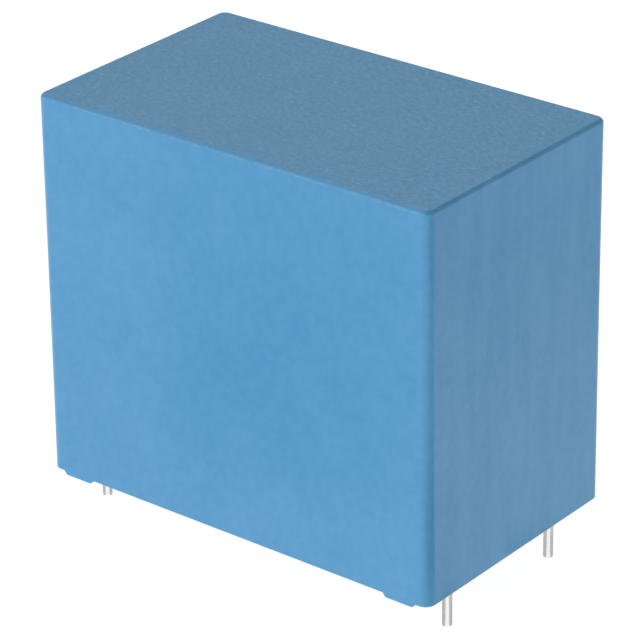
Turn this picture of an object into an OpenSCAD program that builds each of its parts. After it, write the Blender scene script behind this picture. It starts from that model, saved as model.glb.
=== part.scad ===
// Box film capacitor with four leads: two flat-wound film elements, sprayed end contacts and
// wire leads, potted in a moulded case that is open at the bottom.
// Origin: middle of the lead pattern on the seating plane, under the feet. +X runs along the
// case's length, +Y to its back and +Z up. All sizes are in millimetres.

/* [Case] */
// Overall length of the case
case_l = 57.5; // [45:0.5:80]
// Overall width of the case
case_w = 34.4; // [30:0.1:50]
// Height of the case from its bottom rim to its top
case_h = 49.2; // [40:0.1:70]
// Thickness of the side walls
wall_t = 1.2; // [0.8:0.1:2]
// Thickness of the closed top
roof_t = 1.3; // [0.8:0.1:2.5]
// Outside radius of the four upright corners
corner_r = 1.45; // [1.2:0.05:3]
// Radius of the edge that runs round the top
top_r = 0.5; // [0.3:0.1:1]
// Inside radius of the upright corners
cavity_r = 0.6; // [0.3:0.1:1]

/* [Standoff feet] */
// How far the feet stand out below the rim
foot_h = 0.5; // [0.5:0.1:1.5]
// Length of a foot where it meets the board
foot_l = 3.85; // [2:0.05:8]
// Straight rim between a corner's rounding and the foot
foot_gap = 0.95; // [0.3:0.05:3]
// How far each end of a foot leans out by the time it meets the rim
foot_slant = 0.35; // [0:0.05:0.6]

/* [Potting resin] */
// Depth to which the resin sinks in the middle as it cures
sink_depth = 0.3; // [0.1:0.05:0.8]
// Width of the slope round the sunken middle
sink_slope = 4; // [1:0.5:6]
// Level border between the leads and the slope
sink_border = 0.5; // [0.2:0.1:3]
// Radius of the resin's creep along the leads
creep_r = 0.35; // [0.1:0.05:0.4]
// Thickness of the creep's lower edge
creep_lip = 0.1; // [0.05:0.01:0.15]

/* [Windings] */
// Resin between a winding and the long wall beside it
side_gap = 0.6; // [0.3:0.1:2]
// Resin between the two windings
middle_gap = 0.6; // [0.3:0.1:2]
// Resin between the windings and the closed top
top_gap = 0.8; // [0.3:0.1:3]
// Resin between the windings and the rim
bottom_cover = 3; // [1.5:0.1:6]
// Width of the collapsed slot at the heart of a winding
slot_w = 0.3; // [0.1:0.1:1]

/* [End contacts] */
// Thickness of the sprayed metal on the ends of a winding
contact_t = 0.5; // [0.3:0.1:1]

/* [Leads] */
// Diameter of the lead wire
lead_d = 1.2; // [0.8:0.1:1.4]
// Length of the leads below the seating plane
lead_l = 5.7; // [3:0.1:30]
// Distance across the case between the two leads of one end
pitch_y = 20.3; // [14:0.1:22]
// Resin between a lead and the end wall
lead_gap = 0.7; // [0.5:0.1:2]
// Thickness of a lead's flattened inner end
tab_t = 0.7; // [0.5:0.05:0.75]
// Height of the weld over the lower edge of the winding
weld_h = 14; // [8:0.5:25]
// Broken edge round a lead's cut end
tip_bevel = 0.2; // [0.05:0.01:0.3]

/* [Hidden] */
$fn = 64;
// Keeps a cutting shape clear of the face that it cuts through
past = 1;

// Case
cavity_l = case_l - 2 * wall_t;
cavity_w = case_w - 2 * wall_t;
rim_z = foot_h;
roof_z = rim_z + case_h - roof_t;

// Leads: two at each end, round up to the rim and flat from there
lead_r = lead_d / 2;
lead_x = cavity_l / 2 - lead_gap - lead_r;
lead_y = pitch_y / 2;
// Flattening a wire keeps its section, so its width follows from its thickness
tab_w = tab_t + (PI * lead_r * lead_r - PI * tab_t * tab_t / 4) / tab_t;

// Resin: the sunken middle stays clear of the creep round the leads
sink_inset = lead_gap + lead_d + creep_r + creep_lip + sink_border;
sink_l = cavity_l - 2 * sink_inset;
sink_w = cavity_w - 2 * sink_inset;

// Windings: each lies along X, with its contacts between its ends and the flattened leads
winding_t = (cavity_w - 2 * side_gap - middle_gap) / 2;
winding_y = (middle_gap + winding_t) / 2;
winding_low = rim_z + bottom_cover;
winding_h = roof_z - top_gap - winding_low;
winding_z = winding_low + winding_h / 2;
contact_x = lead_x - tab_t / 2;
winding_l = 2 * (contact_x - contact_t);

case_blue = [0.36, 0.6, 0.79];
resin_blue = [0.3, 0.4, 0.5];
film_grey = [0.8, 0.81, 0.8];
zinc_grey = [0.6, 0.61, 0.63];
tin_silver = [0.86, 0.86, 0.87];

// Rectangle with round corners
module round_plan(l, w, r) {
  square([l - 2 * r, w], center = true);
  square([l, w - 2 * r], center = true);
  for (sx = [-1, 1], sy = [-1, 1])
    translate([sx * (l / 2 - r), sy * (w / 2 - r)]) circle(r);
}

// Block on Z = 0 whose sides and round corners all carry one section. The section, its
// child, is side_t wide and h high: it is drawn along the four sides and turned about the
// four corners, and the pieces meet face to face.
module sectioned_block(l, w, h, side_t) {
  core_l = l - 2 * side_t;
  core_w = w - 2 * side_t;
  translate([-core_l / 2, -core_w / 2, 0]) cube([core_l, core_w, h]);
  for (s = [0, 1]) {
    mirror([0, s, 0]) translate([-core_l / 2, core_w / 2, 0]) rotate([90, 0, 90])
      linear_extrude(core_l) children();
    mirror([s, 0, 0]) translate([core_l / 2, core_w / 2, 0]) rotate([90, 0, 0])
      linear_extrude(core_w) children();
  }
  for (sx = [0, 1], sy = [0, 1]) mirror([sx, 0, 0]) mirror([0, sy, 0])
    translate([core_l / 2, core_w / 2, 0]) rotate_extrude(angle = 90) children();
}

// Section w wide and h high with its upper outer corner rounded
module rounded_edge(w, h, r) {
  square([w - r, h]);
  square([w, h - r]);
  translate([w - r, h - r]) intersection() {
    circle(r);
    square(r);
  }
}

// Standoff foot under one end of a long wall, as thick as the wall, with leaning ends
module foot() {
  outer_x = case_l / 2 - corner_r - foot_gap;
  inner_x = outer_x - foot_l;
  translate([0, wall_t - case_w / 2, 0]) rotate([90, 0, 0]) linear_extrude(wall_t)
    polygon([
      [inner_x, 0],
      [outer_x, 0],
      [outer_x + foot_slant, foot_h],
      [inner_x - foot_slant, foot_h],
    ]);
}

// Moulded case: one shell, open at the bottom, with four feet on its rim
module case() {
  color(case_blue) {
    difference() {
      translate([0, 0, rim_z]) sectioned_block(case_l, case_w, case_h, corner_r)
        rounded_edge(corner_r, case_h, top_r);
      translate([0, 0, rim_z - past])
        linear_extrude(roof_z - rim_z + past) round_plan(cavity_l, cavity_w, cavity_r);
    }
    for (sx = [0, 1], sy = [0, 1]) mirror([sx, 0, 0]) mirror([0, sy, 0]) foot();
  }
}

// Section of a winding: film rolled up and pressed flat
module winding_plan() {
  straight_h = winding_h - winding_t;
  square([winding_t, straight_h], center = true);
  for (s = [-1, 1]) translate([0, s * straight_h / 2]) circle(winding_t / 2);
}

// A slice of a winding's form, from x0 and l long, on the side sy
module winding_slice(sy, x0, l) {
  translate([x0, sy * winding_y, winding_z])
    rotate([90, 0, 90]) linear_extrude(l) winding_plan();
}

// All turns of a winding, around the slot that pressing leaves at its heart
module winding(sy) {
  color(film_grey) difference() {
    winding_slice(sy, -winding_l / 2, winding_l);
    translate([0, sy * winding_y, winding_z])
      cube([winding_l + 2 * past, slot_w, winding_h - winding_t], center = true);
  }
}

// Sprayed metal over one end of a winding
module contact(sx, sy) {
  color(zinc_grey)
    winding_slice(sy, sx < 0 ? -contact_x : contact_x - contact_t, contact_t);
}

// Lead: round wire up to the resin, then flattened and welded against the contact
module lead(sx, sy) {
  tab_h = bottom_cover + weld_h;
  color(tin_silver) translate([sx * lead_x, sy * lead_y, 0]) {
    translate([0, 0, -lead_l]) cylinder(h = tip_bevel, r1 = lead_r - tip_bevel, r2 = lead_r);
    translate([0, 0, tip_bevel - lead_l]) cylinder(h = rim_z + lead_l - tip_bevel, r = lead_r);
    translate([0, 0, rim_z]) linear_extrude(tab_h) {
      square([tab_t, tab_w - tab_t], center = true);
      for (s = [-1, 1]) translate([0, s * (tab_w - tab_t) / 2]) circle(tab_t / 2);
    }
  }
}

// Hollow-sided collar of resin that creeps down a lead
module creep() {
  rotate_extrude() difference() {
    translate([0, -creep_r]) square([lead_r + creep_lip + creep_r, creep_r]);
    translate([lead_r + creep_lip + creep_r, -creep_r]) circle(creep_r);
  }
}

// Sunken middle of the resin's surface: a shallow tray with sloping sides
module sunken_middle() {
  translate([0, 0, rim_z - past])
    sectioned_block(sink_l, sink_w, past + sink_depth, sink_slope)
      polygon([
        [0, 0],
        [sink_slope, 0],
        [sink_slope, past],
        [0, past + sink_depth],
      ]);
}

// Cast resin: fills the case level with its rim, round everything in it
module potting_resin() {
  color(resin_blue) difference() {
    union() {
      difference() {
        translate([0, 0, rim_z])
          linear_extrude(roof_z - rim_z) round_plan(cavity_l, cavity_w, cavity_r);
        sunken_middle();
      }
      for (sx = [-1, 1], sy = [-1, 1]) translate([sx * lead_x, sy * lead_y, rim_z]) creep();
    }
    for (sy = [-1, 1]) {
      winding_slice(sy, -contact_x, 2 * contact_x);
      for (sx = [-1, 1]) lead(sx, sy);
    }
  }
}

module winding_front() winding(-1);
module winding_back() winding(1);
module contact_front_left() contact(-1, -1);
module contact_front_right() contact(1, -1);
module contact_back_left() contact(-1, 1);
module contact_back_right() contact(1, 1);
module lead_front_left() lead(-1, -1);
module lead_front_right() lead(1, -1);
module lead_back_left() lead(-1, 1);
module lead_back_right() lead(1, 1);

case();
potting_resin();
winding_front();
winding_back();
contact_front_left();
contact_front_right();
contact_back_left();
contact_back_right();
lead_front_left();
lead_front_right();
lead_back_left();
lead_back_right();
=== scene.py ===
"""Box film capacitor with four leads, potted in a moulded case that is open at the bottom.

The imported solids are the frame. This script dresses them: a moulded case with its
rounded edges, rim and feet, four tinned wires with cut tips, and finishes for the resin,
the windings and their sprayed contacts. Lengths are in metres, with +X along the case, +Y
to its back and +Z up, and Z = 0 is the plane that the case's feet stand on.
"""

import math

import bmesh
import bpy
import numpy as np
from mathutils import Matrix, Vector


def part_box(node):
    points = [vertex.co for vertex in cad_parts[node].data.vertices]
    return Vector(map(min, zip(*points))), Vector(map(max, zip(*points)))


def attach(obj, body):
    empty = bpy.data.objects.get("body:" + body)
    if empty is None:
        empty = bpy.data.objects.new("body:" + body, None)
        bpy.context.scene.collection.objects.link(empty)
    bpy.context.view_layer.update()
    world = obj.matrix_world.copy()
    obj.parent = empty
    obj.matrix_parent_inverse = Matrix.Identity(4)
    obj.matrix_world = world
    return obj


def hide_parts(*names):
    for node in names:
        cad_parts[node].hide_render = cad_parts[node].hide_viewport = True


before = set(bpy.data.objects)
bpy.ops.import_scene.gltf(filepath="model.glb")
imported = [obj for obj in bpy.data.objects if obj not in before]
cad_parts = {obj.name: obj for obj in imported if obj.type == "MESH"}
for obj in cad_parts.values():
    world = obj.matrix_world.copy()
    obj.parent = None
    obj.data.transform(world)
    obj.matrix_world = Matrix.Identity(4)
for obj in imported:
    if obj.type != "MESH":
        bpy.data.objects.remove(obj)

bl_info = {
    "name": "Box Film Capacitor",
    "version": (1, 0, 0),
    "blender": (4, 5, 0),
    "location": "View3D > Sidebar > Capacitor",
    "description": "Dresses a box film capacitor: case, leads, potting resin and windings",
    "category": "Add Mesh",
}

MM = 0.001
BLACK, WHITE = (0.0, 0.0, 0.0, 1.0), (1.0, 1.0, 1.0, 1.0)
QUAD = np.array([[0, 1, 2, 3]])

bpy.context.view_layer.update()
CASE_LOW, CASE_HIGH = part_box("case")
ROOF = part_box("potting_resin")[1]
PLACES = [f"{y}_{x}" for y in ("front", "back") for x in ("left", "right")]
LEADS = [f"lead_{place}" for place in PLACES]
CONTACTS = [f"contact_{place}" for place in PLACES]
WINDINGS = ["winding_front", "winding_back"]
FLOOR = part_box(LEADS[0])[0].z


# ---------------------------------------------------------------- settings


def length(name, default, description):
    """A length in metres, shown in the scene's units."""
    return bpy.props.FloatProperty(
        name=name,
        description=description,
        default=default,
        min=0.0,
        precision=5,
        subtype="DISTANCE",
        unit="LENGTH",
    )


def colour(name, default, description):
    """A linear colour."""
    return bpy.props.FloatVectorProperty(
        name=name,
        description=description,
        default=default,
        size=3,
        min=0.0,
        max=1.0,
        subtype="COLOR",
    )


def factor(name, default, description, top=1.0):
    """A plain number from 0 to a top."""
    return bpy.props.FloatProperty(
        name=name, description=description, default=default, min=0.0, max=top
    )


class CapacitorCaseSettings(bpy.types.PropertyGroup):
    """Sizes and finish of the moulded case."""

    wall: length("Wall", CASE_HIGH.x - ROOF.x, "Thickness of the four side walls")
    corner_radius: length("Corner radius", 1.36 * MM, "Radius of the upright corners")
    top_bevel: length("Top bevel", 0.33 * MM, "Width of the bevel round the top")
    bevel_radius: length("Bevel radius", 0.38 * MM, "Rounding of the bevel's borders")
    cavity_radius: length("Inside radius", 0.6 * MM, "Radius of the inside corners")
    rim_height: length("Rim height", 0.5 * MM, "Height of the rim over the feet")
    rim_radius: length("Rim edge radius", 0.07 * MM, "Rounding of the rim's edges")
    foot_length: length("Foot length", 3.85 * MM, "Length of a foot at the board")
    foot_gap: length("Foot gap", 0.95 * MM, "Rim between a corner and its foot")
    foot_slant: length("Foot slant", 0.35 * MM, "Lean of each end of a foot")
    panel_sink: length("Panel sink", 0.06 * MM, "Sink in the middle of each wall")
    edge_bow: length("Edge bow", 0.03 * MM, "Bow of the walls' edges at mid-height")
    draft: length("Draft", 0.11 * MM, "How much each wall leans in by the top")
    colour: colour("Plastic", (0.075, 0.315, 0.600), "Colour of the moulded plastic")
    roughness: factor("Roughness", 0.34, "Roughness of the moulded plastic")


class CapacitorLeadSettings(bpy.types.PropertyGroup):
    """Sizes and finish of the wire leads."""

    diameter: length("Wire diameter", 1.2 * MM, "Diameter of the wire")
    tab_thickness: length("Tab thickness", 0.7 * MM, "Thickness where it is flattened")
    tip_bevel: length("Tip bevel", 0.20 * MM, "Broken edge round the cut tip")
    tip_shear: length("Tip shear", 0.07 * MM, "Height of the tilt of the cut tip")
    colour: colour("Tin", (0.90, 0.90, 0.895), "Colour of the tinned wire")
    roughness: factor("Roughness", 0.26, "Roughness of the tinned wire")


class CapacitorFillSettings(bpy.types.PropertyGroup):
    """Finish of what the case holds."""

    resin: colour("Resin", (0.055, 0.110, 0.185), "Colour of the potting resin")
    film: colour("Film", (0.62, 0.63, 0.61), "Colour of the metallised film")
    zinc: colour("Sprayed zinc", (0.34, 0.35, 0.37), "Colour of the sprayed contacts")


class CapacitorStageSettings(bpy.types.PropertyGroup):
    """Brightness of the floor, the lights and the room."""

    floor: colour("Floor", (0.20, 0.20, 0.20), "Colour of the floor")
    glow: factor("Floor glow", 0.96, "Light that the floor gives off", 4.0)
    key: factor("Key light", 0.55, "Strength of the key light", 10.0)
    back: factor("Backdrop light", 0.215, "Strength of the backdrop light", 10.0)
    room: colour("Room light", (0.250, 0.265, 0.235), "Colour of the room overhead")
    horizon: factor("Horizon", 1.00, "Brightness of the room at the horizon", 10.0)


# ---------------------------------------------------------------- meshes


def grid_faces(rows, cols, wrap):
    """Quads of a grid of points that is numbered row by row.

    Each quad joins a point to the next in its row, and both to the same places in the row
    after. Where wrap is true, the last point of a row is joined to its first.
    """
    row, col = np.meshgrid(
        np.arange(rows - 1), np.arange(cols if wrap else cols - 1), indexing="ij"
    )
    after = (col + 1) % cols
    corners = [
        row * cols + col,
        row * cols + after,
        (row + 1) * cols + after,
        (row + 1) * cols + col,
    ]
    return np.stack(corners, -1).reshape(-1, 4)


def joined(*parts):
    """One set of points and quads out of several, with each part's numbers moved on."""
    starts = np.cumsum([0] + [len(points) for points, _ in parts[:-1]])
    points = np.concatenate([points for points, _ in parts])
    quads = np.concatenate([quads + start for (_, quads), start in zip(parts, starts)])
    return points, quads


def make_piece(name, points, quads, finish, sharp=35.0):
    """A mesh object at the origin, with its doubles merged.

    Edges between faces that turn by more than sharp, in degrees, are shaded as sharp. A
    mesh that isn't closed, or whose faces point inwards, is an error.
    """
    same_place, no_length = 1e-4 * MM, 1e-5 * MM
    mesh = bpy.data.meshes.new(name)
    mesh.from_pydata(points.tolist(), [], quads.tolist())
    shape = bmesh.new()
    shape.from_mesh(mesh)
    bmesh.ops.remove_doubles(shape, verts=shape.verts, dist=same_place)
    bmesh.ops.dissolve_degenerate(shape, edges=shape.edges, dist=no_length)
    if shape.calc_volume(signed=True) <= 0.0:
        raise RuntimeError(f"{name} is inside out")
    if any(not edge.is_manifold for edge in shape.edges):
        raise RuntimeError(f"{name} isn't closed")
    shape.to_mesh(mesh)
    shape.free()
    mesh.shade_smooth()
    mesh.set_sharp_from_angle(angle=math.radians(sharp))
    mesh.materials.append(finish)
    piece = bpy.data.objects.new(name, mesh)
    bpy.context.scene.collection.objects.link(piece)
    return piece


def rounded_ramp(t, ease=0.2):
    """Rises from 0 to 1 as t does, straight in the middle and eased at both ends.

    Within ease of an end the straight ramp is replaced by the parabola that touches both it
    and the level line beyond.
    """
    low = np.clip(t + ease, 0.0, 2 * ease) ** 2 / (4 * ease)
    high = np.clip(1 + ease - t, 0.0, 2 * ease) ** 2 / (4 * ease)
    return np.select([t < ease, t > 1 - ease], [low, 1 - high], t)


class Outline:
    """Rounded rectangle as a closed path, anticlockwise from above.

    Each point is side * (half size - corner radius) + place + corner radius * outward. Its
    side is 1, 0 or -1 in X and in Y, which is both signs at a corner and one on a straight
    side. Its place is fixed along a straight side and 0 at a corner. Rings of any size then
    match point for point.
    """

    def __init__(self, along_x, along_y, arc_steps):
        sides = [
            (-90.0, along_x, 0, (0, -1)),
            (0.0, along_y, 1, (1, 0)),
            (90.0, -along_x, 0, (0, 1)),
            (180.0, -along_y, 1, (-1, 0)),
        ]
        side, place, outward = [], [], []
        for start, places, axis, facing in sides:
            straight = np.tile(np.array(facing, float), (len(places), 1))
            along = np.zeros((len(places), 2))
            along[:, axis] = places
            angle = np.radians(start + np.linspace(0.0, 90.0, arc_steps + 1))
            middle = math.radians(start + 45.0)
            corner = np.sign([math.cos(middle), math.sin(middle)])
            side += [straight, np.tile(corner, (len(angle), 1))]
            place += [along, np.zeros((len(angle), 2))]
            outward += [straight, np.stack([np.cos(angle), np.sin(angle)], -1)]
        self.side = np.concatenate(side)
        self.place = np.concatenate(place)
        self.outward = np.concatenate(outward)
        self.at_corner = np.abs(self.side).sum(1) > 1.0
        self.on_long_side = self.side[:, 0] == 0.0

    def rings(self, half_x, half_y, radius):
        """The path's points in X and Y, a ring for each size and its corner radius."""
        core = np.stack([half_x - radius, half_y - radius], -1)[:, None]
        return self.side * core + self.place + radius[:, None, None] * self.outward


def foot_ends(case):
    """Distances along the case from its middle to the far and the near end of a foot."""
    outer = CASE_HIGH.x - case.corner_radius - case.foot_gap
    return outer, outer - case.foot_length


def foot_drop(x, case):
    """How far the rim hangs down at x, as a part of the foot's whole height.

    A ramp rises over foot_slant at each end of the foot and the lesser of the two counts.
    """
    outer, inner = foot_ends(case)
    reach = np.abs(x)
    near = (outer + case.foot_slant - reach) / case.foot_slant
    far = (reach - inner + case.foot_slant) / case.foot_slant
    return np.minimum(rounded_ramp(near), rounded_ramp(far))


def case_stations(case):
    """Places along the straight sides where the case's surface has points.

    They are even, with more of them where a foot's ramp begins and ends.
    """
    middle_points, foot_points, end_wall_points = 17, 7, 23
    end_wall_margin, digits = 0.4 * MM, 9
    outer, inner = foot_ends(case)
    ramp = np.array([-0.2, -0.1, 0.0, 0.1, 0.2, 0.5, 0.8, 0.9, 1.0, 1.1, 1.2])
    half = np.concatenate(
        [
            np.linspace(0.0, inner - 2 * case.foot_slant, middle_points),
            inner - case.foot_slant * (1 - ramp),
            np.linspace(inner, outer, foot_points)[1:-1],
            outer + case.foot_slant * (1 - ramp),
        ]
    )
    along_x = np.unique(np.round(np.concatenate([-half, half]), digits))
    reach = CASE_HIGH.y - case.corner_radius - end_wall_margin
    along_y = np.linspace(-reach, reach, end_wall_points)
    return along_x, along_y


def case_rows(case):
    """The case's section: rows of inset, corner radius, height, foot and sink share.

    From the edge of the flat top: over the bevel, down the wall, round the rim and up the
    inside to the edge of the inner roof. The bevel lies at 45 degrees, and an eighth of a
    circle joins it to the top and to the wall. The wall's sink is a parabola over its
    height, and the draft grows with the height over the rim. Outside, a corner's radius is
    less by the inset, and through the wall it falls evenly to that of the inside corners.
    """
    flat_rows, bend_rows, wall_rows, curl_rows = 3, 5, 28, 7
    top, roof = CASE_HIGH.z, ROOF.z
    rim, edge = CASE_LOW.z + case.rim_height, case.rim_radius
    bend, reach = case.bevel_radius, case.bevel_radius * math.tan(math.pi / 8)
    low, high = rim + edge, top - case.top_bevel - reach
    border = case.top_bevel + reach
    level = np.linspace(case.corner_radius, border + case.draft, flat_rows + 1)[:-1]
    upper = np.radians(np.linspace(90.0, 45.0, bend_rows))
    lower = np.radians(np.linspace(45.0, 0.0, bend_rows))
    fall = np.linspace(0.0, 1.0, wall_rows + 1)[1:]
    curl = np.radians(np.linspace(0.0, 90.0, curl_rows))

    # Each line gives a section's inset, height, foot share and sink share.
    sections = [
        (level, top, 0, 0),
        (border - bend * np.cos(upper), top - bend * (1 - np.sin(upper)), 0, 0),
        (bend * (1 - np.cos(lower)), high + bend * np.sin(lower), 0, 0),
        (0, high + (low - high) * fall, 0, 4 * fall * (1 - fall)),
        (edge * (1 - np.cos(curl)), rim + edge * (1 - np.sin(curl)), 1, 0),
        (case.wall - edge + edge * np.sin(curl), rim + edge * (1 - np.cos(curl)), 1, 0),
        (case.wall, np.linspace(low, roof, 5)[2:], 0, 0),
        (case.wall + case.cavity_radius, [roof], 0, 0),
    ]
    rows = [np.stack(np.broadcast_arrays(*section), -1) for section in sections]
    inset, height, foot, sink = np.concatenate(rows).T
    outside = flat_rows + 2 * bend_rows + wall_rows
    shrink = np.full(len(inset), (case.corner_radius - case.cavity_radius) / case.wall)
    shrink[:outside] = 1.0
    radius = case.corner_radius - shrink * inset
    radius[-1] = 0.0
    lean = case.draft * (height - rim) / (top - rim)
    lean[:flat_rows] = 0.0
    lean[outside:] = 0.0
    return inset + lean, radius - lean, height, foot, sink


def case_surface(case):
    """Points and quads of the whole case: its wall as rings, and a flat grid on each roof.

    A wall's point lies on the ring of its row. Its height is lowered by the foot's height
    times the row's foot share. It moves inward by the row's sink share of the bow of the
    edges plus the panel's sink, which dies away as the fourth power of the distance from
    the panel's middle.
    """
    along_x, along_y = case_stations(case)
    path = Outline(along_x, along_y, arc_steps=12)
    inset, radius, height, foot, sink = case_rows(case)
    half_x, half_y = CASE_HIGH.x - inset, CASE_HIGH.y - inset
    half_side = np.where(path.on_long_side, CASE_HIGH.x, CASE_HIGH.y)
    away = np.abs(path.place).sum(1) / half_side
    panel = np.where(path.at_corner, 0.0, 1 - np.clip(away, 0, 1) ** 4)
    inward = sink[:, None] * (case.edge_bow + case.panel_sink * panel)
    flat = path.rings(half_x, half_y, radius) - inward[..., None] * path.outward
    drop = np.where(path.on_long_side, foot_drop(path.place[:, 0], case), 0.0)
    z = height[:, None] - case.rim_height * foot[:, None] * drop
    points = np.concatenate([flat, z[..., None]], -1).reshape(-1, 3)
    wall = points, grid_faces(len(inset), flat.shape[1], True)[:, ::-1]

    def roof(row, upward):
        """A flat grid whose border matches a row of the wall."""
        x = np.concatenate([[-half_x[row]], along_x, [half_x[row]]])
        y = np.concatenate([[-half_y[row]], along_y, [half_y[row]]])
        grid_y, grid_x = np.meshgrid(y, x, indexing="ij")
        cover = np.stack([grid_x, grid_y, np.full_like(grid_x, height[row])], -1)
        faces = grid_faces(len(y), len(x), False)
        return cover.reshape(-1, 3), faces if upward else faces[:, ::-1]

    return joined(wall, roof(0, True), roof(-1, False))


def lead_surface(name, lead, rim, tilt):
    """Points and quads of one lead: a round wire that turns into a flat tab inside.

    Each ring mixes a circle with a flattened wire's outline, which is the circle of half
    the tab's thickness drawn out along Y so that the section's area stays the same. The
    mix rises smoothly over a short height above the rim. The cut tip is tilted: its points
    rise by tip_shear over the wire's width, in the direction of the angle tilt.
    """
    around, curl_rows, rise_rows, change_rows, inside_rows = 48, 7, 14, 12, 11
    flattening, tilt_reach = 2.4 * MM, 1.5 * MM
    low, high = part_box(name)
    middle = (low + high) / 2
    r, a, bevel = lead.diameter / 2, lead.tab_thickness / 2, lead.tip_bevel
    stretch = (math.pi * r * r - math.pi * a * a) / (4 * a)
    angle = np.radians((np.arange(around) + 0.5) * 360.0 / around)
    circle = np.stack([np.cos(angle), np.sin(angle)], -1)
    tab = a * circle + np.stack([0 * angle, stretch * np.sign(np.sin(angle))], -1)

    curl = np.radians(np.linspace(0.0, 90.0, curl_rows))
    rise = np.linspace(bevel, rim - low.z, rise_rows + 1)[1:]
    change = rim - low.z + np.linspace(0.0, flattening, change_rows + 1)[1:]
    inside = np.linspace(change[-1], high.z - low.z, inside_rows + 1)[1:]
    share = (change - change[0]) / (change[-1] - change[0])

    # Each line gives a section's height over the tip, scale and share of the tab.
    sections = [
        ([0.0, 0.0, 0.0], [0.0, 0.35, 0.7], 0),
        (bevel * (1 - np.cos(curl)), 1 - bevel / r * (1 - np.sin(curl)), 0),
        (rise, 1, 0),
        (change, 1, share**2 * (3 - 2 * share)),
        (inside, 1, 1),
        (inside[-1], [0.5, 0.0], 1),
    ]
    rows = [np.stack(np.broadcast_arrays(*section), -1) for section in sections]
    z, scale, flat = np.concatenate(rows).T[..., None]

    ring = (1 - flat[..., None]) * r * circle + flat[..., None] * tab
    ring = scale[..., None] * ring
    near = np.clip(1 - z / tilt_reach, 0.0, 1.0)
    across = r + ring @ np.array([math.cos(tilt), math.sin(tilt)])
    height = low.z + z + near * lead.tip_shear * across / (2 * r)
    flat_ring = ring + np.array([middle.x, middle.y])
    points = np.concatenate([flat_ring, height[..., None]], -1)
    return points.reshape(-1, 3), grid_faces(len(z), around, True)


# ---------------------------------------------------------------- finishes


class Finish:
    """A material's node tree, with short calls for the nodes that the finishes share."""

    def __init__(self, name):
        self.material = bpy.data.materials.new(name)
        self.material.use_nodes = True
        self.tree = self.material.node_tree
        self.shader = self.tree.nodes["Principled BSDF"]
        self.place = self.node("ShaderNodeTexCoord").outputs["Object"]

    def node(self, kind, **settings):
        """A new node with its settings."""
        made = self.tree.nodes.new(kind)
        for key, value in settings.items():
            setattr(made, key, value)
        return made

    def put(self, socket, value):
        """Links an output to the socket, or sets the socket to a plain value."""
        if isinstance(value, bpy.types.NodeSocket):
            self.tree.links.new(value, socket)
        else:
            socket.default_value = value

    def math(self, operation, a, b=0.0, clamp=False):
        """One step of arithmetic on one or two values."""
        made = self.node("ShaderNodeMath", operation=operation, use_clamp=clamp)
        self.put(made.inputs[0], a)
        self.put(made.inputs[1], b)
        return made.outputs[0]

    def total(self, value, *others):
        """The sum of two or more values."""
        for other in others:
            value = self.math("ADD", value, other)
        return value

    def product(self, value, *others):
        """The product of two or more values."""
        for other in others:
            value = self.math("MULTIPLY", value, other)
        return value

    def less(self, value, taken):
        """What is left when the second value is taken from the first."""
        return self.math("SUBTRACT", value, taken)

    def apart(self, value, other):
        """How far two values are from each other."""
        return self.math("ABSOLUTE", self.less(value, other))

    def spread(self, value, low, high, to_low=0.0, to_high=1.0):
        """Maps low..high smoothly onto to_low..to_high."""
        made = self.node("ShaderNodeMapRange", interpolation_type="SMOOTHSTEP")
        self.put(made.inputs["Value"], value)
        for key, number in zip(
            ("From Min", "From Max", "To Min", "To Max"), (low, high, to_low, to_high)
        ):
            made.inputs[key].default_value = number
        return made.outputs["Result"]

    def axis(self, letter):
        """The coordinate along one axis."""
        made = self.node("ShaderNodeSeparateXYZ")
        self.put(made.inputs[0], self.place)
        return made.outputs[letter]

    def noise(self, size, detail=2.0, stretch=(1.0, 1.0, 1.0), contrast=None):
        """Noise with features about size across, drawn out by stretch.

        Contrast gives the two values that are spread out to 0 and 1.
        """
        mapping = self.node("ShaderNodeMapping", vector_type="POINT")
        self.put(mapping.inputs["Vector"], self.place)
        mapping.inputs["Scale"].default_value = [1 / s for s in stretch]
        made = self.node("ShaderNodeTexNoise")
        self.put(made.inputs["Vector"], mapping.outputs["Vector"])
        made.inputs["Scale"].default_value = 1 / size
        made.inputs["Detail"].default_value = detail
        value = made.outputs["Fac"]
        return self.spread(value, *contrast) if contrast else value

    def cells(self, spacing):
        """How far off the nearest of many scattered points is, in units of their spacing."""
        made = self.node("ShaderNodeTexVoronoi")
        self.put(made.inputs["Vector"], self.place)
        made.inputs["Scale"].default_value = 1 / spacing
        return made.outputs["Distance"]

    def mix(self, amount, a, b):
        """A colour that goes from the first to the second as the amount goes to 1."""
        made = self.node("ShaderNodeMix", data_type="RGBA")
        self.put(made.inputs["Factor"], amount)
        self.put(made.inputs["A"], a)
        self.put(made.inputs["B"], b)
        return made.outputs["Result"]

    def bump(self, height, distance, under=None):
        """A bump that a height of 1 raises by the distance, over another bump or none."""
        made = self.node("ShaderNodeBump")
        made.inputs["Distance"].default_value = distance
        self.put(made.inputs["Height"], height)
        if under is not None:
            self.put(made.inputs["Normal"], under)
        return made.outputs["Normal"]

    def set(self, **sockets):
        """Sets the shader's sockets, given with underscores for spaces."""
        for key, value in sockets.items():
            self.put(self.shader.inputs[key.replace("_", " ")], value)
        return self.material


def shade(base, amount):
    """A colour made lighter or darker by a factor, with its alpha."""
    return [min(1.0, c * amount) for c in base] + [1.0]


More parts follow.
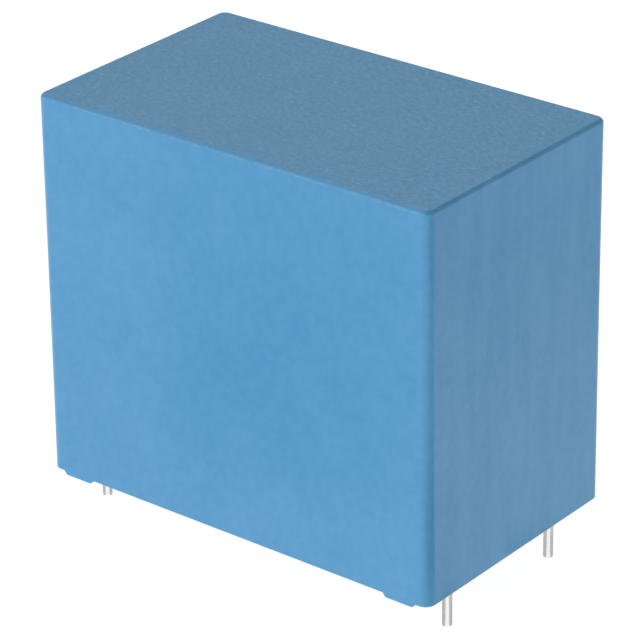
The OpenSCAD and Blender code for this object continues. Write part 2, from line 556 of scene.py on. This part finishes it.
def moulded_plastic(case):
    """Blue moulded plastic: spark-eroded grain on the top, and smoother walls.

    The grain is fine noise with sparse light dots, and counts above the bevel. Below it
    the walls are faintly mottled, and the end walls also have streaks, which are noise
    drawn out along Z. All of them swing the colour to either side of the plastic's own.
    Light spots along the line where the bevel meets the long walls are a painted highlight,
    which only lightens, for the gloss that this edge catches.
    """
    look = Finish("moulded_plastic")
    top, end = CASE_HIGH.z, CASE_HIGH.x
    crisp, soft = (0.30, 0.70), (0.32, 0.68)
    height = look.axis("Z")
    upper = look.spread(height, top - 0.06 * MM, top - 0.01 * MM)
    sides = look.less(1.0, upper)
    out = look.math("ABSOLUTE", look.axis("X"))
    ends = look.spread(out, end - 0.8 * MM, end - 0.3 * MM)
    flanks = look.less(1.0, ends)

    grain = look.noise(0.62 * MM, contrast=crisp)
    pits = look.noise(1.5 * MM, 3.0)
    patches = look.noise(2.0 * MM, contrast=(0.44, 0.58))
    dots = look.product(look.spread(look.cells(1.1 * MM), 0.32, 0.16), patches)
    mottle = look.noise(1.25 * MM, contrast=soft)
    streaks = look.noise(2.4 * MM, stretch=(1.0, 1.0, 9.0), contrast=soft)
    clouds = look.noise(9.0 * MM)
    # Painted highlight: noise for the light spots along the bevel's lower border.
    highlight_specks = look.noise(0.6 * MM, contrast=(0.44, 0.60))
    skin = look.noise(0.12 * MM)

    def swing(value, amount, where=None):
        """The value's swing about its middle, times an amount, where it counts."""
        about = look.product(look.less(value, 0.5), amount)
        return about if where is None else look.product(about, where)

    tone = look.total(
        swing(grain, 0.46, upper),
        swing(pits, 0.50, upper),
        look.product(dots, 0.75, upper),
        swing(mottle, 0.15, sides),
        swing(streaks, 0.18, ends),
        swing(clouds, 0.40),
    )
    tone = look.math("ADD", tone, 0.5, clamp=True)
    drift, highlight_gain = 0.075 * np.array([0.56, 0.78, 0.92]), 0.09
    dull, light = ([*(np.array(case.colour) + way * drift), 1.0] for way in (-1, 1))
    # Painted highlight: a paler colour, put on in spots along the line where the bevel meets
    # the long walls, stands in for the gloss that this edge catches.
    pale = [c + highlight_gain for c in case.colour] + [1.0]
    border = look.apart(height, top - case.top_bevel)
    line = look.product(look.spread(border, 0.20 * MM, 0.06 * MM), highlight_specks, flanks, 0.50)
    base = look.mix(line, look.mix(tone, dull, light), pale)

    normal = look.bump(look.product(look.total(grain, pits), upper), 0.028 * MM)
    waves = look.total(swing(mottle, 1.0, sides), swing(streaks, 0.5, ends))
    normal = look.bump(skin, 0.0015 * MM, look.bump(waves, 0.005 * MM, normal))
    rough = look.total(look.product(upper, 0.08), swing(pits, 0.12), case.roughness)
    return look.set(Base_Color=base, Roughness=rough, Normal=normal, IOR=1.5)


def tinned_wire(lead):
    """Tinned wire: bright, with drawing lines along it and a faint frosting of the tin."""
    look = Finish("tinned_wire")
    lines = look.noise(0.10 * MM, stretch=(1.0, 1.0, 40.0))
    frost = look.noise(0.35 * MM, 3.0)
    tone = look.total(look.product(frost, 0.6), look.product(lines, 0.4))
    base = look.mix(tone, shade(lead.colour, 0.90), shade(lead.colour, 1.06))
    smoothest, roughest = lead.roughness - 0.04, lead.roughness + 0.06
    rough = look.spread(frost, 0.3, 0.7, smoothest, roughest)
    normal = look.bump(frost, 0.0010 * MM, look.bump(lines, 0.0006 * MM))
    return look.set(Base_Color=base, Metallic=1.0, Roughness=rough, Normal=normal)


def cast_resin(fill):
    """Cured potting resin: smooth, a little wavy, with filler grains and a few pinholes,
    which are darkened as painted shade.
    """
    look = Finish("cast_resin")
    waves = look.noise(6.0 * MM, 1.0)
    filler = look.noise(0.25 * MM)
    pinholes_and_shade = look.spread(look.cells(2.6 * MM), 0.055, 0.035)
    tone = look.total(look.product(waves, 0.6), look.product(filler, 0.4))
    base = look.mix(tone, shade(fill.resin, 0.80), shade(fill.resin, 1.22))
    # Painted shade: the pinholes are darkened, standing in for the shade inside them.
    base = look.mix(pinholes_and_shade, base, shade(fill.resin, 0.35))
    normal = look.bump(filler, 0.004 * MM, look.bump(waves, 0.25 * MM))
    normal = look.bump(look.less(1.0, pinholes_and_shade), 0.05 * MM, normal)
    rough = look.spread(waves, 0.3, 0.7, 0.24, 0.36)
    return look.set(Base_Color=base, Roughness=rough, Normal=normal, IOR=1.55)


def wound_film(fill, name):
    """Edges of the film's turns: fine lines at even distances from the winding's heart.

    The heart is a flat slot on Z, so the distance is that from a point to the slot's line:
    the height beyond the slot's end and the distance across, put together. A sine of that
    distance, a little wobbled by noise, gives the lines.
    """
    radians_per_metre = 26000.0
    low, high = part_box(name)
    middle = (low + high) / 2
    half_slot = (high.z - low.z - (high.y - low.y)) / 2
    look = Finish(f"wound_film_{name.split('_')[1]}")
    across = look.less(look.axis("Y"), middle.y)
    beyond = look.less(look.apart(look.axis("Z"), middle.z), half_slot)
    beyond = look.math("MAXIMUM", beyond, 0.0)
    squares = look.total(look.product(across, across), look.product(beyond, beyond))
    wobble = look.product(look.noise(2.0 * MM), 0.25 * MM)
    far = look.total(look.math("SQRT", squares), wobble)
    turns = look.math("SINE", look.product(far, radians_per_metre))
    crease = look.noise(1.0 * MM, stretch=(12.0, 1.0, 1.0))
    tone = look.total(look.product(turns, 0.25), crease)
    base = look.mix(tone, shade(fill.film, 0.80), shade(fill.film, 1.15))
    normal = look.bump(crease, 0.02 * MM, look.bump(turns, 0.004 * MM))
    return look.set(Base_Color=base, Metallic=0.35, Roughness=0.30, Normal=normal)


def sprayed_zinc(fill):
    """Sprayed zinc: matt grey metal built up of fine flattened droplets."""
    look = Finish("sprayed_zinc")
    drops = look.cells(0.22 * MM)
    grit = look.noise(0.09 * MM, 3.0)
    tone = look.total(look.product(drops, 0.8), look.product(grit, 0.4))
    base = look.mix(tone, shade(fill.zinc, 0.70), shade(fill.zinc, 1.35))
    normal = look.bump(drops, 0.05 * MM, look.bump(grit, 0.02 * MM))
    return look.set(Base_Color=base, Metallic=0.8, Roughness=0.62, Normal=normal)


def dress(nodes, finish):
    """Gives the frame's own solids a finish."""
    for name in nodes:
        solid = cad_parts[name]
        solid.data.materials.clear()
        solid.data.materials.append(finish)


# ---------------------------------------------------------------- operators


class CAPACITOR_OT_case(bpy.types.Operator):
    """Makes the moulded case with its feet"""

    bl_idname = "capacitor.case"
    bl_label = "Moulded case"

    def execute(self, context):
        case = context.scene.capacitor_case
        points, quads = case_surface(case)
        shell = make_piece("case_shell", points, quads, moulded_plastic(case))
        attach(shell, "root")
        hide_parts("case")
        return {"FINISHED"}


class CAPACITOR_OT_leads(bpy.types.Operator):
    """Makes the four wire leads"""

    bl_idname = "capacitor.leads"
    bl_label = "Wire leads"

    def execute(self, context):
        lead = context.scene.capacitor_lead
        rim = CASE_LOW.z + context.scene.capacitor_case.rim_height
        finish = tinned_wire(lead)
        tilts = np.radians([35.0, 115.0, 195.0, 275.0])
        for name, tilt in zip(LEADS, tilts):
            points, quads = lead_surface(name, lead, rim, tilt)
            title = name.replace("lead", "lead_wire")
            wire = make_piece(title, points, quads, finish, sharp=50.0)
            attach(wire, "root")
            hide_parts(name)
        return {"FINISHED"}


class CAPACITOR_OT_fill(bpy.types.Operator):
    """Finishes the potting resin and what is sealed in it"""

    bl_idname = "capacitor.fill"
    bl_label = "Resin and windings"

    def execute(self, context):
        fill = context.scene.capacitor_fill
        dress(["potting_resin"], cast_resin(fill))
        dress(CONTACTS, sprayed_zinc(fill))
        for name in WINDINGS:
            dress([name], wound_film(fill, name))
        return {"FINISHED"}


class CAPACITOR_OT_stage(bpy.types.Operator):
    """Makes the floor, the lights and the camera"""

    bl_idname = "capacitor.stage"
    bl_label = "Stage"

    def execute(self, context):
        stage = context.scene.capacitor_stage
        make_floor(stage)
        make_boards()
        make_room(stage)
        make_lamp("key", heading=24.0, elevation=33.0, size=(1.6, 1.4), power=stage.key)
        make_lamp(
            "backdrop", heading=132.0, elevation=46.0, size=(1.0, 1.1), power=stage.back
        )
        make_camera()
        context.scene.view_settings.view_transform = "Standard"
        context.scene.view_settings.look = "None"
        return {"FINISHED"}


def at_height(flat, height):
    """Points in X and Y, all at one height."""
    return np.concatenate([flat, np.full((len(flat), 1), height)], -1)


def make_sheet(name, points, faces, **sockets):
    """A flat sheet of the stage, whose plain finish has the sockets that are given."""
    mesh = bpy.data.meshes.new(name)
    mesh.from_pydata(points.tolist(), [], faces.tolist())
    mesh.materials.append(Finish(name).set(Emission_Color=WHITE, **sockets))
    sheet = bpy.data.objects.new(name, mesh)
    bpy.context.scene.collection.objects.link(sheet)
    return sheet


def make_floor(stage):
    """A pale floor under the lead tips, which also glows a little like a light table."""
    half_size = 6.0
    corners = half_size * np.array([[-1, -1], [1, -1], [1, 1], [-1, 1]])
    make_sheet(
        "floor",
        at_height(corners, FLOOR),
        QUAD,
        Base_Color=[*stage.floor, 1.0],
        Roughness=0.9,
        Specular_IOR_Level=0.1,
        Emission_Strength=stage.glow,
    )


def make_board(name, points, faces, brightness):
    """A glowing board that is seen only in reflections: a painted reflection, light where it
    is bright and shade where it is dark.
    """
    board = make_sheet(
        name,
        points,
        faces,
        Base_Color=BLACK,
        Specular_IOR_Level=0.0,
        Emission_Strength=brightness,
    )
    for rays in ("camera", "diffuse", "transmission", "volume_scatter", "shadow"):
        setattr(board, f"visible_{rays}", False)


def make_boards():
    """Boards that the leads, the bevel and the front right corner mirror.

    Round each lead lies a grey disc with an open sector: a painted shadow that stands for
    the case's shadow on the floor, and gives the lead two grey bands. Boards of four corners
    lie in front, to the right and behind, dark and grey: painted shade on the floor. One
    glowing board stands high at the back right, where the bevel over the right wall mirrors
    it as a painted reflection that lightens the bevel.
    """
    # Painted reflection: a glowing board high at the back right lightens the bevel's
    # reflection.
    high = [(280, 240, 100), (40, 360, 100), (40, 320, 340), (240, 160, 340)]
    make_board("board_high", MM * np.array(high), QUAD, 0.57)

    # Painted shadow: a grey disc round each lead, seen only in reflections, stands for the
    # case's shadow on the floor.
    lying = FLOOR + 0.05 * MM
    disc_radius, disc_starts, disc_ends = 10.0 * MM, 76.0, 362.0
    angle = np.radians(np.linspace(disc_starts, disc_ends, 23))
    rim = disc_radius * np.stack([np.sin(angle), -np.cos(angle)], -1)
    fan = np.concatenate([np.zeros((1, 2)), rim])
    step = np.arange(1, len(angle))
    wedge = np.stack([0 * step, step, step + 1], -1)
    for name in LEADS:
        first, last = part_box(name)
        middle = (first + last) / 2
        disc = at_height(fan + [middle.x, middle.y], lying)
        make_board(name.replace("lead", "board"), disc, wedge, 0.50)

    # Painted shade: dark and grey boards on the floor, seen only in reflections.
    for name, corners, brightness in (
        ("board_right", ((40, -42), (240, -100), (240, 75), (40, -3)), 0.0),
        ("board_front", ((-80, -150), (6, -41), (-34, -41), (-118, -150)), 0.15),
        ("board_back", ((67, 20), (110, 60), (150, 160), (70, 110)), 0.55),
    ):
        make_board(name, at_height(MM * np.array(corners), lying), QUAD, brightness)


def make_room(stage):
    """Surroundings that are white at the horizon and dim overhead.

    They turn from one to the other between two heights on a ball of radius 1.
    """
    white_below, dim_above = 0.045, 0.08
    world = bpy.data.worlds.new("studio")
    bpy.context.scene.world = world
    world.use_nodes = True
    tree = world.node_tree
    place = tree.nodes.new("ShaderNodeTexCoord")
    split = tree.nodes.new("ShaderNodeSeparateXYZ")
    fall = tree.nodes.new("ShaderNodeMapRange")
    fall.interpolation_type = "SMOOTHSTEP"
    tree.links.new(place.outputs["Generated"], split.inputs[0])
    tree.links.new(split.outputs["Z"], fall.inputs["Value"])
    fall.inputs["From Min"].default_value = white_below
    fall.inputs["From Max"].default_value = dim_above
    blend = tree.nodes.new("ShaderNodeMix")
    blend.data_type = "RGBA"
    tree.links.new(fall.outputs["Result"], blend.inputs["Factor"])
    blend.inputs["A"].default_value = [stage.horizon] * 3 + [1.0]
    blend.inputs["B"].default_value = [*stage.room, 1.0]
    tree.links.new(blend.outputs["Result"], tree.nodes["Background"].inputs["Color"])


def direction(heading, elevation):
    """Unit vector away from the part. Its heading turns from the front to the left."""
    ahead = math.cos(elevation)
    return Vector(
        (-math.sin(heading) * ahead, -math.cos(heading) * ahead, math.sin(elevation))
    )


def make_lamp(name, heading, elevation, size, power):
    """A soft light aimed at the part, whose size is a width and a height.

    Its energy grows as the square of its distance, so that the power sets how bright it is.
    """
    distance = 1.4
    toward = direction(math.radians(heading), math.radians(elevation))
    data = bpy.data.lights.new(name, "AREA")
    data.shape = "RECTANGLE"
    data.size, data.size_y = size
    data.energy = power * math.pi**2 * distance**2
    lamp = bpy.data.objects.new(name, data)
    lamp.location = toward * distance + Vector((0.0, 0.0, CASE_HIGH.z / 2))
    lamp.rotation_euler = toward.to_track_quat("Z", "Y").to_euler()
    lamp.visible_camera = False
    bpy.context.scene.collection.objects.link(lamp)


def make_camera():
    """A long lens from the front right, above the part, turned a little about its axis.

    It looks at a point that stands lift over the board and lies across to the right.
    """
    azimuth, elevation, roll = np.radians([38.6989, 25.7643, -0.6840])
    distance, across, lift = 430.4619 * MM, -0.2024 * MM, 22.1225 * MM
    level = Vector((math.cos(azimuth), math.sin(azimuth), 0.0))
    back = direction(-azimuth, elevation)
    up = back.cross(level)
    right = math.cos(roll) * level + math.sin(roll) * up
    up = math.cos(roll) * up - math.sin(roll) * level
    data = bpy.data.cameras.new("camera")
    data.lens = 203.67
    data.sensor_width = 36.0
    data.clip_start, data.clip_end = 0.01, 50.0
    camera = bpy.data.objects.new("camera", data)
    spot = level * across + Vector((0, 0, lift)) + back * distance
    turn = Matrix((right, up, back)).transposed().to_4x4()
    camera.matrix_world = Matrix.Translation(spot) @ turn
    bpy.context.scene.collection.objects.link(camera)
    bpy.context.scene.camera = camera


class CAPACITOR_PT_panel(bpy.types.Panel):
    """Lists the capacitor's pieces and their settings"""

    bl_idname = "CAPACITOR_PT_panel"
    bl_label = "Box Film Capacitor"
    bl_space_type = "VIEW_3D"
    bl_region_type = "UI"
    bl_category = "Capacitor"

    def draw(self, context):
        for operator, group in OPERATORS:
            box = self.layout.box()
            box.operator(operator.bl_idname)
            settings = getattr(context.scene, group)
            for key in settings.__annotations__:
                box.prop(settings, key)


OPERATORS = [
    (CAPACITOR_OT_case, "capacitor_case"),
    (CAPACITOR_OT_leads, "capacitor_lead"),
    (CAPACITOR_OT_fill, "capacitor_fill"),
    (CAPACITOR_OT_stage, "capacitor_stage"),
]
GROUPS = {
    "capacitor_case": CapacitorCaseSettings,
    "capacitor_lead": CapacitorLeadSettings,
    "capacitor_fill": CapacitorFillSettings,
    "capacitor_stage": CapacitorStageSettings,
}


def register():
    for name, group in GROUPS.items():
        bpy.utils.register_class(group)
        setattr(bpy.types.Scene, name, bpy.props.PointerProperty(type=group))
    for operator, _ in OPERATORS:
        bpy.utils.register_class(operator)
    bpy.utils.register_class(CAPACITOR_PT_panel)


def unregister():
    bpy.utils.unregister_class(CAPACITOR_PT_panel)
    for operator, _ in reversed(OPERATORS):
        bpy.utils.unregister_class(operator)
    for name, group in GROUPS.items():
        delattr(bpy.types.Scene, name)
        bpy.utils.unregister_class(group)


def main():
    """Makes every piece in order."""
    register()
    bpy.ops.capacitor.case()
    bpy.ops.capacitor.leads()
    bpy.ops.capacitor.fill()
    bpy.ops.capacitor.stage()


if __name__ == "__main__":
    main()
